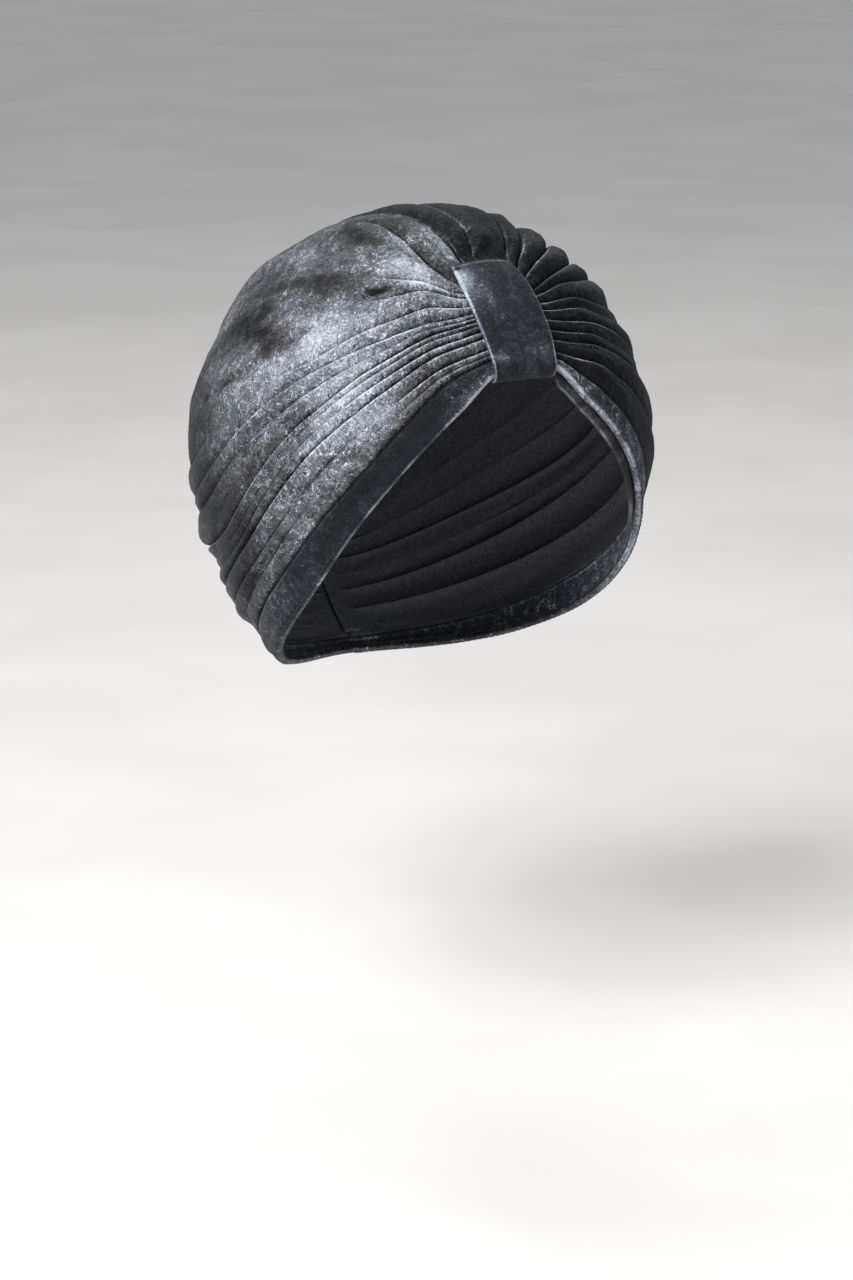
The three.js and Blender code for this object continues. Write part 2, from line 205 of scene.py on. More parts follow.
# Loops of slack cloth beside the band, with their radii across and along in millimetres.
RIGHT_LOOPS = ({"turn": -27, "run": 0.122, "across": 2.8, "along": 4.6, "height": 1},)
LEFT_LOOPS = (
    {"turn": -1, "run": 0.132, "across": 3.6, "along": 8, "height": 0.9},
    {"turn": 37, "run": 0.09, "across": 2.2, "along": 3.6, "height": 0.8},
    {"turn": 43.5, "run": 0.115, "across": 2.2, "along": 5, "height": 0.8},
)

# Strokes where each half is painted lighter or darker: partly the lie of the crushed pile, partly
# painted sheen where it catches the light and painted shade where it turns away.
RIGHT_NAP_AND_SHEEN = (
    {"turn": (-68, -77), "run": (0.14, 0.42), "reach": 13, "amount": 0.42},
    {"turn": (-84, -100), "run": (0.2, 0.28), "reach": 15, "amount": 0.42},
    {"turn": (-88, -104), "run": (0.28, 0.34), "reach": 9, "amount": 0.24},
    {"turn": (-52, -38), "run": (0.11, 0.24), "reach": 7, "amount": 0.5},
    {"turn": (-30, -24), "run": (0.12, 0.2), "reach": 6, "amount": 0.2},
    {"turn": (-42, -30), "run": (0.33, 0.4), "reach": 6, "amount": 0.15},
    {"turn": (-60, -64), "run": (0.38, 0.31), "reach": 5, "amount": 0.26},
    {"turn": (-68, -52), "run": (0.325, 0.5), "reach": 7, "amount": -0.44},
    {"turn": (-54, -44), "run": (0.25, 0.5), "reach": 5, "amount": -0.26},
    {"turn": (-40, -24), "run": (0.2, 0.34), "reach": 5.5, "amount": -0.38},
    {"turn": (-20, -16), "run": (0.2, 0.36), "reach": 7, "amount": -0.12},
    {"turn": (-53.5, -57), "run": (0.185, 0.22), "reach": 2, "amount": -0.5},
    {"turn": (-79, -88), "run": (0.32, 0.45), "reach": 3, "amount": -0.2},
    {"turn": (-50, -95), "run": (0.62, 0.62), "reach": 24, "amount": -0.34},
    {"turn": (-90, -97), "run": (0.5, 0.66), "reach": 12, "amount": -0.16},
    {"turn": (-104, -112), "run": (0.48, 0.72), "reach": 13, "amount": -0.26},
    {"turn": (-50, -90), "run": (0.1, 0.1), "reach": 8, "amount": 0.16},
    {"turn": (-47, -34), "run": (0.5, 0.85), "reach": 9, "amount": 0.2},
    {"turn": (-24, -15), "run": (0.42, 0.9), "reach": 9, "amount": -0.16},
    {"turn": (-74, -48), "run": (0.68, 0.9), "reach": 7, "amount": -0.14},
)
LEFT_NAP_AND_SHEEN = (
    {"turn": (56, 100), "run": (0.18, 0.32), "reach": 16, "amount": 0.22},
    {"turn": (-8, 0), "run": (0.16, 0.4), "reach": 5, "amount": 0.18},
    {"turn": (36, 37), "run": (0.12, 0.24), "reach": 3, "amount": 0.16},
    {"turn": (62, 66), "run": (0.12, 0.3), "reach": 3, "amount": 0.12},
    {"turn": (88, 94), "run": (0.12, 0.34), "reach": 3.5, "amount": 0.14},
    {"turn": (-6, 30), "run": (0.62, 0.72), "reach": 22, "amount": 0.2},
    {"turn": (60, 84), "run": (0.6, 0.66), "reach": 16, "amount": 0.25},
    {"turn": (76, 84), "run": (0.12, 0.2), "reach": 6, "amount": 0.1},
)
RIGHT_RELIEF = {
    "pinches": RIGHT_PINCHES, "rolls": RIGHT_ROLLS, "loops": RIGHT_LOOPS, "nap": RIGHT_NAP_AND_SHEEN,
}
LEFT_RELIEF = {"pinches": LEFT_PINCHES, "rolls": LEFT_ROLLS, "loops": LEFT_LOOPS, "nap": LEFT_NAP_AND_SHEEN}
# Patches where the band is painted lighter or darker, partly the lie of its pile and partly painted sheen.
BAND_NAP_AND_SHEEN = (
    {"across": 0.06, "along": 0.45, "wide": 0.22, "long": 0.15, "amount": 0.6},
    {"across": 0.3, "along": 0.6, "wide": 0.07, "long": 0.08, "amount": 0.22},
    {"across": 0.14, "along": 0.96, "wide": 0.16, "long": 0.04, "amount": 0.26},
    {"across": 0.8, "along": 0.95, "wide": 0.2, "long": 0.05, "amount": 0.24},
    {"across": 0.06, "along": 0.31, "wide": 0.06, "long": 0.03, "amount": -0.6},
)
BAND_TOP_EDGE = 0.28
BAND_SCALLOPS, BAND_SCALLOP_DEPTH = 9.5, 0.9 * MM

# Waves and lumps of the cloth: degrees of TURN across one, how many lie along the whole RUN, and
# the seed of each.
WAVES = {
    "bend": {"across": 9, "along": 8, "seed": 31},
    "slack": {"across": 8, "along": 8, "seed": 11},
    "ripple": {"across": 3.1, "along": 17, "seed": 17},
    "crush": {"across": 1.3, "along": 75, "seed": 23},
    "long_fray": {"across": 5, "along": 13, "seed": 61},
    "short_fray": {"across": 1.7, "along": 40, "seed": 63},
    "run_fray": {"across": 4, "along": 17, "seed": 67},
    "hem_slack": {"across": 9, "along": 12, "seed": 41},
    "hem_ripple": {"across": 4, "along": 34, "seed": 43},
    "facing_ripple": {"across": 3, "along": 40, "seed": 47},
}
GATHERS_IN_FOLD, GATHERS_ALONG, GATHER_SEED = 3.6, 14, 3
GATHERS_END, GATHERS_FULL = 0.3, 0.1

# Lines of painted shade and painted highlight along the cloth: how far they lie from a fold's
# crease or from an edge, and their half width.
CREASE_SHADOW = (0, 0.75 * MM)
CREASE_SHADE_LINE = (0, 0.25 * MM)
FOLD_EDGE_HIGHLIGHT = (0.8 * MM, 0.34 * MM)
HEM_LOWER_HIGHLIGHT = (0.5 * MM, 0.65 * MM)
HEM_UPPER_HIGHLIGHT = (1 * MM, 0.4 * MM)
HEM_UPPER_SHADOW = (0, 0.7 * MM)
FACING_EDGE_HIGHLIGHT = (0.3 * MM, 0.35 * MM)
BAND_SIDE_HIGHLIGHT = (0.5 * MM, 0.5 * MM)
BAND_TOP_HIGHLIGHT = (BAND_TOP_EDGE, 0.025)

# Sewing: how far rows of stitches lie from the hem's lower edge, and the seam turned in under the
# seam between the drapes.
HEM_STITCH_ROWS = (1.9 * MM, 3.2 * MM)
HEM_STITCHES_FROM = {"outer": 0.38, "inner": 0.1}
STITCH = {"pitch": 2.6 * MM, "length": 1.9 * MM, "radius": 0.17 * MM, "groove": 0.6 * MM}
OVERLOCK = {"pitch": 1.5 * MM, "length": 3.6 * MM, "radius": 0.2 * MM}
OVERLOCK_LEAN = 48
SEAM_STRIP = {
    "half_width": 3.6 * MM, "wall": 1 * MM, "gap": 0.35 * MM, "bow": 0.4 * MM, "aside": 1.2 * MM,
    "columns": 13,
}


def ease(low, high, value):
    """0 at low, 1 at high, and smooth between them."""
    share = np.clip((value - low) / (high - low), 0, 1)
    return share * share * (3 - 2 * share)


def peak(value, middle, width):
    """1 where the value is at the middle, and rounded off to 0 past the width on both sides."""
    return np.exp(-(((value - middle) / width) ** 2))


def crowded_ends(count):
    """Shares from 0 to 1 that lie closer together near both ends."""
    return 0.5 - 0.5 * np.cos(np.linspace(0, np.pi, count))


def smooth_rows(stations, values, where):
    """Smooth curves through rows of values at the stations, which never overshoot them."""
    stations = np.asarray(stations, float)
    values = np.atleast_2d(np.asarray(values, float))
    where = np.clip(np.asarray(where, float), stations[0], stations[-1])
    span = np.diff(stations)
    slope = np.diff(values, axis=1) / span
    before, after = slope[:, :-1], slope[:, 1:]
    total = np.where(before * after > 0, before + after, 1)
    middle = np.where(before * after > 0, 2 * before * after / total, 0)
    tangent = np.concatenate([slope[:, :1], middle, slope[:, -1:]], axis=1)
    i = np.clip(np.searchsorted(stations, where, side="right") - 1, 0, len(span) - 1)
    s = (where - stations[i]) / span[i]
    eased = s * s * (3 - 2 * s)
    bend = s * (1 - s) * span[i]
    level = values[:, i] * (1 - eased) + values[:, i + 1] * eased
    return level + bend * (tangent[:, i] * (1 - s) - tangent[:, i + 1] * s)


def chart_direction(turn, run):
    """Unit directions from the centre of the head."""
    turn = np.asarray(turn, float) * DEGREE
    smooth = run * run * (3 - 2 * run)
    rise = (BAND_POLE_RISE + (NAPE_POLE_DROP - BAND_POLE_RISE) * smooth) * DEGREE
    slit = BAND_SLIT + (NAPE_SLIT - BAND_SLIT) * smooth
    away = np.sin(np.pi * run)
    side = away * np.sin(turn)
    up = np.hypot(away, slit) * np.cos(turn)
    forward = np.cos(np.pi * run)
    back = up * np.sin(rise) - forward * np.cos(rise)
    high = up * np.cos(rise) + forward * np.sin(rise)
    found = np.stack([side, back, high], axis=-1)
    return found / np.linalg.norm(found, axis=-1, keepdims=True)


def on_form(direction, height):
    """Points at a height over the mean surface of the cloth."""
    depth = np.where(direction[..., 1] < 0, FRONT_REACH, BACK_REACH)
    tall = np.where(direction[..., 2] > 0, CROWN_RISE, NAPE_DROP)
    reach = height + 1 / np.sqrt(
        (direction[..., 0] / HALF_WIDTH) ** 2
        + (direction[..., 1] / depth) ** 2
        + (direction[..., 2] / tall) ** 2
    )
    return direction * reach[..., None] - np.array([0, 0, SEAT_RISE])


def lattice_noise(x, y, seed):
    """Smooth noise from -1 to 1, with about one lump for each unit of x and y."""
    cell_x, cell_y = np.floor(x).astype(np.int64), np.floor(y).astype(np.int64)
    share_x, share_y = x - cell_x, y - cell_y
    share_x = share_x * share_x * (3 - 2 * share_x)
    share_y = share_y * share_y * (3 - 2 * share_y)

    def corner(dx, dy):
        mixed = (cell_x + dx) * 374761393 + (cell_y + dy) * 668265263 + seed * 974634777
        mixed = (mixed ^ (mixed >> 13)) * 1274126177
        return ((mixed ^ (mixed >> 16)) & 0xFFFF) / 32767.5 - 1

    low = corner(0, 0) * (1 - share_x) + corner(1, 0) * share_x
    high = corner(0, 1) * (1 - share_x) + corner(1, 1) * share_x
    return low * (1 - share_y) + high * share_y


def waves(name, turn, run, side=0):
    """Smooth noise over the chart, as WAVES has it, and different on each side of the head."""
    wave = WAVES[name]
    return lattice_noise(turn / wave["across"], run * wave["along"], wave["seed"] + side)


def pressed(run):
    """1 under the band, and 0 where the gathers stand free of it."""
    return 1 - ease(PRESS_FROM, PRESS_TO, run)


def across_scale(turn, run):
    """Metres of cloth for each degree of TURN."""
    away = np.sin(np.pi * run)
    turn = turn * DEGREE
    return np.hypot(away * np.cos(turn), np.hypot(away, MEAN_SLIT) * np.sin(turn)) * MEAN_REACH * DEGREE


def patches(table, across, along):
    """Sum of rounded patches of the given amounts."""
    total = np.zeros_like(across)
    for patch in table:
        near = ((across - patch["across"]) / patch["wide"]) ** 2
        total += patch["amount"] * np.exp(-near - ((along - patch["along"]) / patch["long"]) ** 2)
    return total


def strokes(table, turn, run, sharpness=2.0):
    """Sum of the strokes' amounts, and how near each point is to the middle of one, from 0 to 1."""
    total, near = np.zeros_like(turn), np.zeros_like(turn)
    for stroke in table:
        (turn_a, turn_b), (run_a, run_b) = stroke["turn"], stroke["run"]
        scale = across_scale((turn_a + turn_b) / 2, (run_a + run_b) / 2)
        end = np.array([(turn_b - turn_a) * scale, (run_b - run_a) * np.pi * MEAN_REACH])
        x, y = (turn - turn_a) * scale, (run - run_a) * np.pi * MEAN_REACH
        along = np.clip((x * end[0] + y * end[1]) / (end @ end), 0, 1)
        away = np.hypot(x - along * end[0], y - along * end[1]) / (stroke["reach"] * MM)
        taper = np.sin(np.pi * (0.12 + 0.76 * along)) ** 0.7
        total += stroke["amount"] * taper * np.exp(-(away**sharpness))
        near = np.maximum(near, taper * peak(away, 0, 0.3))
    return total, near


def loops(table, turn, run):
    """Height in metres of the loops beside the band, and how near a point is to their crests."""
    height, near = np.zeros_like(turn), np.zeros_like(turn)
    for loop in table:
        x = (turn - loop["turn"]) * across_scale(loop["turn"], loop["run"]) / (loop["across"] * MM)
        y = (run - loop["run"]) * np.pi * MEAN_REACH / (loop["along"] * MM)
        away = np.hypot(x, y)
        height += loop["height"] * MM * (peak(away, 1, 0.45) - 1.2 * peak(away, 0, 0.6))
        near = np.maximum(near, 0.45 * peak(away, 1, 0.18))
    return height, near


def grid_lengths(points):
    """Running lengths across and along a grid of points, for its UVs."""
    across = np.linalg.norm(np.diff(points, axis=1), axis=2)
    along = np.linalg.norm(np.diff(points, axis=0), axis=2)
    zero_column, zero_row = np.zeros((len(points), 1)), np.zeros((1, points.shape[1]))
    across = np.concatenate([zero_column, np.cumsum(across, axis=1)], axis=1)
    return across, np.concatenate([zero_row, np.cumsum(along, axis=0)], axis=0)


def edge_roundness(points, half):
    """Share of the wall's half thickness that is left near the four edges of a grid."""
    across, along = grid_lengths(points)
    column = np.minimum(across, across[:, -1:] - across)
    row = np.minimum(along, along[-1:] - along)
    near = 1 - np.clip(np.minimum(column, row) / half, 0, 1)
    return np.sqrt(1 - 0.97 * near**2)


def wall_faces(direction, height, wall, edge_wall):
    """Middle, outer and inner points of a wall whose outer face is at a height over the form."""
    middle = on_form(direction, height - wall / 2)
    outward = direction * (wall / 2 * edge_roundness(middle, edge_wall / 2))[..., None]
    return middle, middle + outward, middle - outward


def linked_object(name, data):
    """A new object in the scene, for a mesh, a lamp or a camera."""
    added = bpy.data.objects.new(name, data)
    bpy.context.collection.objects.link(added)
    return added


def wall_mesh(name, outer, inner, marks, materials):
    """A closed wall between two grids of points, with UVs in metres and marks on its points."""
    rows, columns = outer.shape[:2]
    index = np.arange(rows * columns).reshape(rows, columns)
    under = index + rows * columns

    def quads(grid):
        return np.stack([grid[:-1, :-1], grid[:-1, 1:], grid[1:, 1:], grid[1:, :-1]], -1).reshape(-1, 4)

    def rim(top, bottom):
        return np.stack([top[1:], top[:-1], bottom[:-1], bottom[1:]], -1)

    edges = (
        rim(index[0], under[0]),
        rim(index[-1, ::-1], under[-1, ::-1]),
        rim(index[::-1, 0], under[::-1, 0]),
        rim(index[:, -1], under[:, -1]),
    )
    faces = np.concatenate([quads(index), quads(under)[:, ::-1], *edges])
    points = np.concatenate([outer.reshape(-1, 3), inner.reshape(-1, 3)])
    a, b, c, d = (points[faces[:, i]] for i in range(4))
    volume = np.einsum("ij,ij->", a, np.cross(b, c)) + np.einsum("ij,ij->", a, np.cross(c, d))
    if volume < 0:
        faces = faces[:, ::-1]
    mesh = bpy.data.meshes.new(name)
    mesh.from_pydata(points.tolist(), [], faces.tolist())
    mesh.polygons.foreach_set("use_smooth", np.ones(len(faces), bool))
    inside = np.zeros(len(faces), np.int32)
    one_side = (rows - 1) * (columns - 1)
    inside[one_side : 2 * one_side] = 1
    for material in materials:
        mesh.materials.append(material)
    mesh.polygons.foreach_set("material_index", inside)
    chart = np.tile(np.stack(grid_lengths(outer), -1).reshape(-1, 2), (2, 1))
    corners = np.empty(len(mesh.loops), np.int32)
    mesh.loops.foreach_get("vertex_index", corners)
    mesh.uv_layers.new(name="cloth").data.foreach_set("uv", chart[corners].ravel())
    for mark, values in marks.items():
        attribute = mesh.attributes.new(mark, "FLOAT", "POINT")
        attribute.data.foreach_set("value", np.tile(values.ravel(), 2).astype(np.float32))
    return linked_object(name, mesh)


def fold_columns(lines, run, steps_per_fold):
    """Turn and height of a drape across its folds, with the distance in metres to each crease."""
    turns = smooth_rows(STATIONS, [line["turn"] for line in lines], run)
    depths = smooth_rows(STATIONS, [line["depth"] for line in lines], run) * MM
    names = ("turn", "height", "arch", "count", "to_lower", "to_upper", "depth")
    parts = {name: [] for name in names}
    for i in range(len(lines) - 1):
        span = turns[i + 1] - turns[i]
        width = np.abs(span * across_scale(turns[i], run))[:, None]
        steps = int(np.clip(np.median(width) / FOLD_STEP, steps_per_fold, MOST_STEPS * steps_per_fold))
        angle = np.linspace(0, np.pi, steps + 1)[None, :]
        if i < len(lines) - 2:
            angle = angle[:, :-1]
        lean = lines[i + 1]["lean"] * ease(*LEAN_FADES, width)
        even = 0.5 - 0.5 * np.cos(angle)
        share = even - lean * np.sin(angle) ** 2
        depth = depths[i][:, None] * (1 - even) + depths[i + 1][:, None] * even
        tight = 0.25 + width / (2 * CREASE_REACH)
        arch = np.tanh(np.sin(angle) * tight) / np.tanh(tight)
        lower_depth = depths[i + 1][:, None] * np.ones_like(even)
        upper_depth = depths[i][:, None] * np.ones_like(even)
        parts["turn"].append(turns[i][:, None] + span[:, None] * share)
        parts["height"].append(depth * (arch - CREASE_SHARE))
        parts["arch"].append(arch)
        parts["count"].append(i + even * np.ones_like(depth))
        parts["to_lower"].append(width * (1 - share))
        parts["to_upper"].append(width * share)
        parts["depth"].append(np.where(even > 0.5, lower_depth, upper_depth))
    return {key: np.concatenate(value, axis=1) for key, value in parts.items()}


def drape_grid(form, side, creases, hem_top, relief):
    """Outer and inner points of one half of the crown, and the marks of its folds."""
    run = EDGE_RUN + (1 - EDGE_RUN) * np.linspace(0, 1, form.rows) ** DRAPE_CROWDING
    hem_line = {"turn": [t - side * HEM_GAP for t in hem_top], "depth": HEM_CREASE_DEPTH, "lean": 0.15}
    folds = fold_columns([SEAM, *creases, hem_line], run, form.fold_steps)
    turn, height, arch = folds["turn"], folds["height"], folds["arch"]
    runs = run[:, None] * np.ones_like(turn)
    press = pressed(runs)
    free = 1 - press
    height = height * (PRESSED_PLEAT + (1 - PRESSED_PLEAT) * free) - PRESS_DEPTH * press

    # Relief fades towards the seams, where both halves have to meet.
    off_back_seam = ease(1, BACK_SEAM_FROM, runs)
    off_seam = ease(0, 0.3, folds["count"]) * off_back_seam
    # Fine gathers leave the band between the main creases and die out on the way back.
    gather = lattice_noise(folds["count"] * GATHERS_IN_FOLD, runs * GATHERS_ALONG, GATHER_SEED + side)
    gather = gather * ease(GATHERS_END, GATHERS_FULL, runs) * off_seam
    height = height + form.gather_depth * gather * (0.4 + 0.6 * free)
    # Slack of the cloth, its ripples, and the finer crush of its pile.
    bent = turn + 2.5 * waves("bend", turn, runs)
    slack = waves("slack", bent, runs, side)
    ripple = waves("ripple", bent, runs, side)
    crush = waves("crush", turn, runs, side)
    level = slack * form.slack_depth + ripple * form.ripple_depth + crush * form.crush_depth
    height = height + level * free * ease(0, 0.5, arch)
    rolls, _ = strokes(relief["rolls"], turn, runs)
    pinches, pinch_near = strokes(relief["pinches"], turn, runs, 1.3)
    loop_height, loop_near = loops(relief["loops"], turn, runs)
    rolls = rolls * MM * off_seam * (0.2 + 0.8 * arch)
    pinches = (pinches * MM + loop_height) * off_seam
    height = height + rolls * free + pinches * (0.4 + 0.6 * free)
    height = BACK_SEAM_DEPTH + (height - BACK_SEAM_DEPTH) * off_back_seam

    direction = chart_direction(turn, runs)
    _, outer, inner = wall_faces(direction, height, form.cloth_wall, form.cloth_wall)
    shift = np.array([side * HALF_SEAM_GAP, 0, 0])
    frayed = (
        turn + 3 * waves("long_fray", turn, runs) + 1.2 * waves("short_fray", turn, runs),
        runs + 0.014 * waves("run_fray", turn, runs),
    )
    deep = ease(0.4 * MM, 2.4 * MM, folds["depth"])
    to_crease = np.minimum(folds["to_lower"], folds["to_upper"])
    # Painted shade along each crease, strongest near the band and weaker towards the nape.
    crease_shade_strength = (0.3 + 0.7 * ease(0.45, 0.1, runs)) * (0.8 + 0.2 * ripple)
    crease = np.maximum(peak(folds["to_lower"], *CREASE_SHADOW), peak(to_crease, *CREASE_SHADE_LINE))
    crease = crease * deep * crease_shade_strength
    # Near the band each fold is painted lit on its upper side and painted in shade on its lower side.
    fold_side_light_shade = (0.45 - folds["count"] % 1) * ease(0.45, 0.1, runs) * deep * off_seam
    # A painted highlight just below each crease, along the edge of the fold beneath.
    lip = peak(folds["to_upper"], *FOLD_EDGE_HIGHLIGHT) * deep * (0.8 + 0.4 * ripple)
    # The loops' crests also take painted highlights, and the pinches take painted shade.
    marks = {
        "nap": strokes(relief["nap"], *frayed)[0] + 0.06 * slack + 0.06 * ripple + 0.4 * fold_side_light_shade,
        "crease": np.maximum(crease, pinch_near * 0.7),
        "lip": np.maximum(lip, loop_near),
        "flank": np.exp(-to_crease / (2.5 * MM)) * deep,
    }
    return outer + shift, inner + shift, marks


def mark_piece(piece, node):
    """Tell the frame what a piece rides on and what it takes the place of."""
    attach(piece, "root")
    if node:
        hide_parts(node)


def hem_grid(form):
    """The hem strip from the band down the right side, round the nape and up to the band again."""
    run = EDGE_RUN + (1 - EDGE_RUN) * np.linspace(0, 1, form.hem_rows) ** HEM_CROWDING
    across = crowded_ends(form.hem_columns)
    profile = smooth_rows(HEM_SECTION["across"], HEM_SECTION["height"], across)[0] * MM
    turns, runs = [], []
    for edges, stops in ((HEM_RIGHT, run), (HEM_LEFT, run[-2::-1])):
        top, bottom = smooth_rows(STATIONS, [edges["top"], edges["bottom"]], stops)
        turns.append(top[:, None] + (bottom - top)[:, None] * across[None, :])
        runs.append(stops[:, None] * np.ones_like(across)[None, :])
    turn, runs = np.concatenate(turns), np.concatenate(runs)
    press = pressed(runs)
    free = 1 - press
    slack = waves("hem_slack", turn, runs)
    ripple = waves("hem_ripple", turn, runs)
    nape = ease(0.4, 0.62, runs)
    share = np.ones_like(turn) * across[None, :]
    strip = np.abs(turn[:, -1:] - turn[:, :1]) * across_scale(turn[:, -1:], runs[:, -1:])
    to_bottom = strip * (1 - share)
    groove = sum(peak(to_bottom, row, STITCH["groove"]) for row in HEM_STITCH_ROWS)
    level = profile[None, :] - form.hem_press * press + (0.3 * slack + 0.15 * ripple) * MM * free
    level = level + (1.6 * nape * np.sin(np.pi * share) ** 0.8 - 0.3 * groove * nape) * MM * free
    wall = form.hem_wall + (profile[None, :] * 0.4 + 0.8 * MM * nape * np.sin(np.pi * share)) * free
    direction = chart_direction(turn, runs)
    _, outer, inner = wall_faces(direction, level, wall, form.hem_wall)
    # Painted highlights run along both edges. Beside the band and all along the left side the pile is
    # painted lighter, partly its lie and partly painted sheen.
    to_top = strip * share
    left = ease(0, 20, turn)
    by_band = peak(runs, 0.09, 0.05) * (1 - 0.7 * left)
    rim = peak(to_bottom, *HEM_LOWER_HIGHLIGHT) * (1 - 0.7 * nape)
    rim = rim * (1 - 0.4 * left) + 0.35 * peak(to_top, *HEM_UPPER_HIGHLIGHT)
    left = left * (0.6 + 0.4 * ease(0.16, 0.32, runs)) * ease(0.7, 0.5, runs)
    marks = {
        "nap": 0.05 * slack + 0.06 * ripple + 0.2 * nape + 0.45 * by_band * share + 0.34 * left - 0.02,
        # Painted shade under the upper fold of the hem and, towards the nape, in its stitch grooves.
        "crease": peak(to_top, *HEM_UPPER_SHADOW) + 0.4 * groove * nape,
        "lip": rim * (1 + 0.5 * ripple),
        "flank": ease(0.75, 1, share) * 0.5,
    }
    return outer, inner, marks


def hem_row(grid, to_edge):
    """A path on a face of the hem at a distance from its lower edge."""
    to_bottom = grid_lengths(grid)[0]
    to_bottom = to_bottom[:, -1:] - to_bottom
    path = [
        [np.interp(to_edge, rank[::-1], row[::-1, axis]) for axis in range(3)]
        for rank, row in zip(to_bottom, grid)
    ]
    return np.array(path)


def facing_grid(form):
    """The turned-in layer of the hem, which shows below it beside the band on the wearer's left."""
    run = EDGE_RUN + (FACING_END - EDGE_RUN) * np.linspace(0, 1, FACING_ROWS)
    free = ease(*FACING_FREE, run)
    bottom, hem = smooth_rows(STATIONS, [FACING_BOTTOM, HEM_LEFT["bottom"]], run)
    bottom = FACING_TUCKED_BOTTOM * (1 - free) + bottom * free
    top = hem - FACING_LAP
    share = crowded_ends(FACING_COLUMNS)
    turn = top[:, None] + (bottom - top)[:, None] * share[None, :]
    runs = run[:, None] * np.ones_like(turn)
    ripple = waves("facing_ripple", turn, runs)
    level = FACING_HEIGHT - form.facing_press * pressed(runs) + 0.12 * MM * ripple
    direction = chart_direction(turn, runs)
    middle, outer, inner = wall_faces(direction, level, form.facing_wall, form.facing_wall)
    widths = grid_lengths(middle)[0]
    to_bottom = widths[:, -1:] - widths
    marks = {
        "nap": 0.12 * ripple + 0.05,
        "crease": np.zeros_like(turn),
        # A painted highlight along the lower edge of the facing.
        "lip": 0.55 * peak(to_bottom, *FACING_EDGE_HIGHLIGHT) * (1 + ripple),
        "flank": np.zeros_like(turn),
    }
    return outer, inner, marks


def band_stops(form):
    """Rise, heights of both faces, and side edges at each row of the centre band."""
    count = form.band_rows
    stations = np.linspace(0, 1, len(BAND_OUTLINE["rise"]))
    rows = [BAND_OUTLINE[key] for key in ("rise", "right", "left", "height")]
    rise, right, left, height = smooth_rows(stations, rows, np.linspace(0, 1, count))
    height = height * MM
    outer_radius = BAND_LOOP["inner_radius"] + form.band_wall
    centre = height[-1] - outer_radius
    to_rise = 1 / (FRONT_REACH * DEGREE)
    angle = np.linspace(0, np.pi, count // 5 + 1)[1:]
    turned = {
        "rise": rise[-1] - np.sin(angle) * outer_radius * to_rise,
        "inner_rise": rise[-1] - np.sin(angle) * BAND_LOOP["inner_radius"] * to_rise,
        "outer": centre + np.cos(angle) * outer_radius,
        "inner": centre + np.cos(angle) * BAND_LOOP["inner_radius"],
    }
    tail = np.linspace(rise[-1], BAND_LOOP["tail_rise"], count // 4)[1:]
    flat = np.ones_like(tail)
    stops = {
        "rise": np.concatenate([rise, turned["rise"], tail]),
        "inner_rise": np.concatenate([rise, turned["inner_rise"], tail]),
        "outer": np.concatenate([height, turned["outer"], flat * turned["outer"][-1]]),
        "inner": np.concatenate([height - form.band_wall, turned["inner"], flat * turned["inner"][-1]]),
    }
    extra = len(angle) + len(tail)
    stops["right"] = np.concatenate([right, np.full(extra, right[-1])]) * MM
    stops["left"] = np.concatenate([left, np.full(extra, left[-1])]) * MM
    stops["along"] = np.arange(count + extra) / (count - 1)
    return stops


def band_grid(form):
    """The centre band from its tucked top end down over the gathers and in round the hem."""
    stops = {key: value[:, None] for key, value in band_stops(form).items()}
    across = crowded_ends(form.band_columns)[None, :]
    across = across * np.ones_like(stops["along"])
    along = stops["along"] * np.ones_like(across)
    front = ease(1.2, 1, along)
    x = stops["right"] + (stops["left"] - stops["right"]) * across
    # Pleats taken up where the band turns under the hem, and a soft swell over the gathers.
    scallop = np.cos(across * BAND_SCALLOPS * np.pi + 0.6 * np.sin(across * 17))
    scallop = scallop * BAND_SCALLOP_DEPTH
    scallop = scallop * ease(0.86, 1, along) * front
    swell = 0.5 * MM * np.sin(np.pi * across) * np.sin(np.pi * np.clip(along, 0, 1)) ** 0.5
    ripple = lattice_noise(across * 5, along * 9, 51) * 0.16 * MM
    edge = np.abs(2 * across - 1) ** 5
    bow = (-0.45 * MM * edge + swell + ripple * (1 - edge)) * front

    def place(rise, height):
        rise = rise * DEGREE * np.ones_like(x)
        direction = np.stack([x / FRONT_REACH, -np.cos(rise), np.sin(rise)], -1)
        direction = direction / np.linalg.norm(direction, axis=-1, keepdims=True)
        return on_form(direction, height)

    outer = place(stops["rise"], stops["outer"] + bow + scallop)
    inner = place(stops["inner_rise"], stops["inner"] + bow * 0.3)
    middle = (outer + inner) / 2
    round_share = edge_roundness(middle, form.band_wall / 2)[..., None]
    outer, inner = middle + (outer - middle) * round_share, middle + (inner - middle) * round_share
    widths = grid_lengths(middle)[0]
    to_side = np.minimum(widths, widths[:, -1:] - widths)
    nap = patches(BAND_NAP_AND_SHEEN, across, along)
    marks = {
        "nap": nap + 0.05 * lattice_noise(across * 6, along * 10, 53),
        "crease": np.zeros_like(across),
        # Painted highlights along both sides and the top edge of the band.
        "lip": np.maximum(peak(to_side, *BAND_SIDE_HIGHLIGHT), 0.7 * peak(along, *BAND_TOP_HIGHLIGHT)),
        "flank": np.exp(-to_side / (3 * MM)),
    }
    return outer, inner, marks


